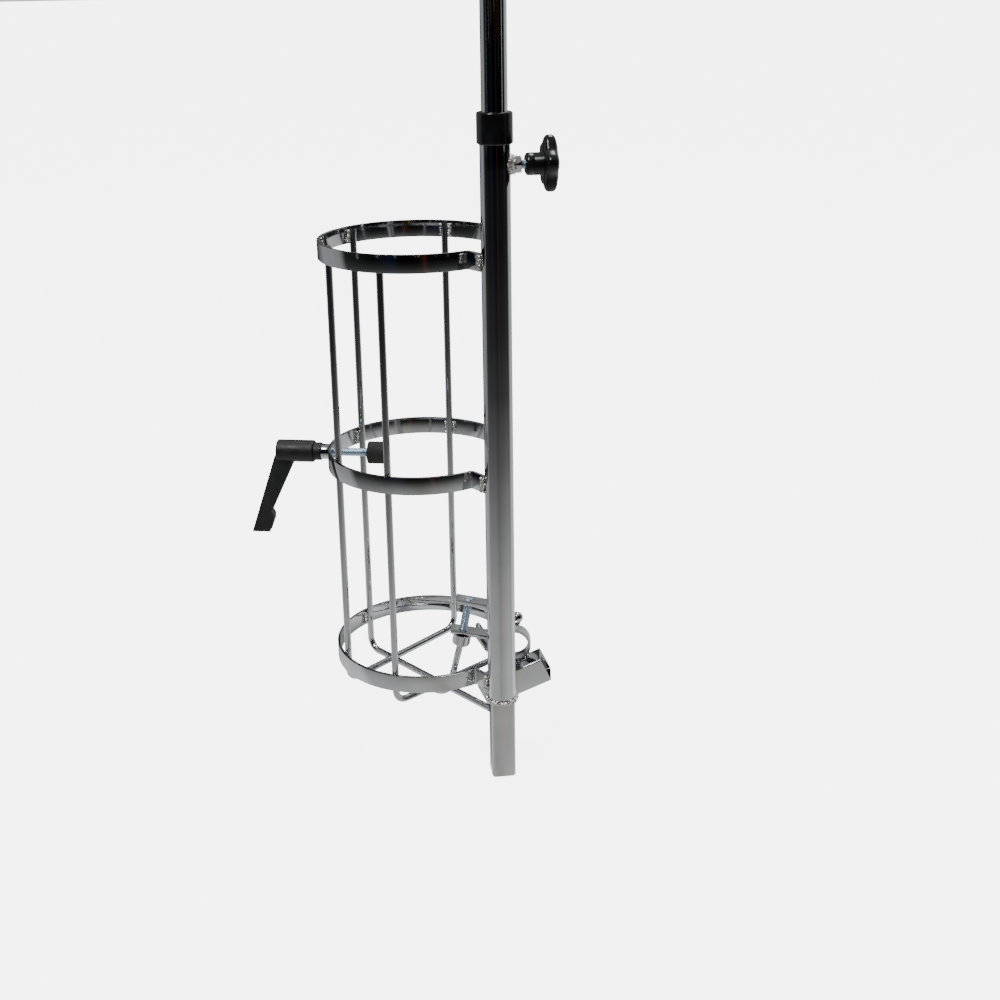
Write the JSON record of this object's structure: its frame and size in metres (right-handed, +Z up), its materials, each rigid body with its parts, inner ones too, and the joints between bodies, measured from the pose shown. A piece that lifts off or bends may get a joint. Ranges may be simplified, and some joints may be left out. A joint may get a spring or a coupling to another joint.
{
  "type": "infusion pole with cylinder cage",
  "caption": "Square-stemmed infusion pole for a chair socket, with a telescopic mast locked by a star knob, a round rod cage for a gas cylinder with a clamping lever, and a clamp-on bracket.",
  "frame": {"origin": "centre of the square stem's lower end face", "axes": "+Z up the pole, +X the way the height knob points, +Y away from the knob's right-hand side so that the cage lies towards -X and +Y"},
  "size_m": [0.3185, 0.2003, 1.021],
  "materials": {
    "chrome": "polished",
    "weld": "lumpy bright plated",
    "zinc": "bright zinc",
    "black_gloss": "semi-gloss moulded",
    "black_matt": "fine texture moulded",
    "rubber": "matt",
    "brass": "turned",
    "nylon": "natural moulded",
    "spring_steel": "drawn"
  },
  "bodies": {
    "frame": {"stem": "chrome", "pole_tube": "chrome", "stem_weld": "weld", "guide_collar": "black_gloss", "knob_nut": "chrome", "knob_nut_weld": "weld", "ring_bottom": "chrome", "ring_middle": "chrome", "ring_top": "chrome", "cage_rod_left": "chrome", "cage_rod_front": "chrome", "cage_rod_back": "chrome", "tab_welds": "weld", "rod_welds": "weld", "lever_boss": "chrome", "socket_tube": "chrome", "loop_clamp": "chrome", "cross_bolt": "chrome", "bolt_washer": "chrome", "acorn_nut": "chrome", "bracket_weld": "weld"},
    "glide": {"glide_bush": "nylon"},
    "mast": {"mast_tube": "chrome", "hook_hub": "chrome", "bag_hook_1": "chrome", "bag_hook_2": "chrome"},
    "pad": {"pressure_pad": "brass"},
    "knob": {"knob_stud": "zinc", "star_knob": "black_gloss"},
    "foot": {"lever_foot": "rubber"},
    "lever_core": {"lever_stud": "zinc", "lever_insert": "zinc", "lever_screw": "zinc", "lever_spring": "spring_steel"},
    "handle": {"lever_handle": "black_matt"},
    "jaw": {"swivel_jaw": "chrome", "jaw_stud": "zinc", "jaw_washer": "chrome", "jaw_boss": "chrome", "hook_rod": "chrome"}
  },
  "joints": [
    {"name": "mast_height", "type": "slide", "parent": "frame", "child": "glide", "axis": [0, 0, 1], "range_m": [-0.24, 0.15]},
    {"name": "mast_swivel", "type": "hinge", "parent": "glide", "child": "mast", "pos_m": [0, 0, 0.35], "axis": [0, 0, 1], "continuous": true},
    {"name": "knob_advance", "type": "slide", "parent": "frame", "child": "pad", "axis": [1, 0, 0], "range_m": [0, 0.00375]},
    {"name": "knob_turn", "type": "hinge", "parent": "pad", "child": "knob", "pos_m": [0, 0, 0.567], "axis": [1, 0, 0], "range_deg": [0, 1080]},
    {"name": "lever_advance", "type": "slide", "parent": "frame", "child": "foot", "axis": [-0.972, 0.2351, 0], "range_m": [0, 0.02]},
    {"name": "lever_turn", "type": "hinge", "parent": "foot", "child": "lever_core", "pos_m": [-0.06198, 0.09051, 0.289], "axis": [-0.972, 0.2351, 0], "range_deg": [0, 5760]},
    {"name": "lever_lift", "type": "slide", "parent": "lever_core", "child": "handle", "axis": [-0.972, 0.2351, 0], "range_m": [0, 0.0035], "stiffness_N_per_m": 1500, "springref_m": -0.002},
    {"name": "jaw_swivel", "type": "hinge", "parent": "frame", "child": "jaw", "pos_m": [0.01135, 0.07819, 0.11062], "axis": [0.833, -0.1319, 0.5373], "range_deg": [-15, 15]}
  ],
  "couplings": [
    {"joint": "knob_advance", "follows": "knob_turn", "m_per_rad": 0.00019894},
    {"joint": "lever_advance", "follows": "lever_turn", "m_per_rad": 0.00019894}
  ]
}
